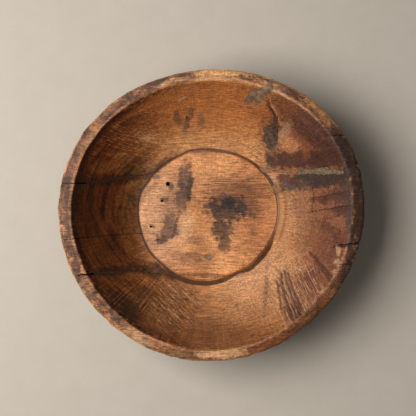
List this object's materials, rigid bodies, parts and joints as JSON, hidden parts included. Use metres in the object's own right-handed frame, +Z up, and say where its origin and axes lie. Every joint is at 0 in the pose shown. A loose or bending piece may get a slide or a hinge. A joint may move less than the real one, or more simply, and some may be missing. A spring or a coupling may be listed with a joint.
{
  "type": "dough bowl",
  "caption": "Round hand-carved wooden dough bowl with a raised disc in its floor, drying cracks and old putty and wood repairs let into its wall and rim.",
  "frame": {"origin": "middle of the bowl's length and width, on the flat of its foot", "axes": "+Z up out of the bowl, +X along the grain towards the repaired split, +Y across the grain"},
  "size_m": [0.4588, 0.4369, 0.13],
  "materials": {
    "bowl_wood": "oiled hardwood, dark with age and worn pale on its edges",
    "plug_wood": "dark aged hardwood, dry",
    "sliver_wood": "paler hardwood, dry",
    "pale_putty": "rough matt chalk putty",
    "grey_putty": "matt grey chalk putty",
    "green_putty": "matt olive-grey chalk putty",
    "dark_putty": "matt dark putty, stained",
    "pitch": "black pitch, dull"
  },
  "bodies": {
    "root": {"bowl_body": "bowl_wood", "split_rim_plug": "plug_wood", "split_sliver": "sliver_wood", "split_stopping": "pale_putty", "rim_stopping": "grey_putty", "floor_plug": "grey_putty", "groove_stopping_upper": "green_putty", "groove_stopping_lower": "green_putty", "crack_stopping_upper": "dark_putty", "crack_stopping_lower": "dark_putty", "knot_pitch": "pitch"}
  },
  "joints": []
}
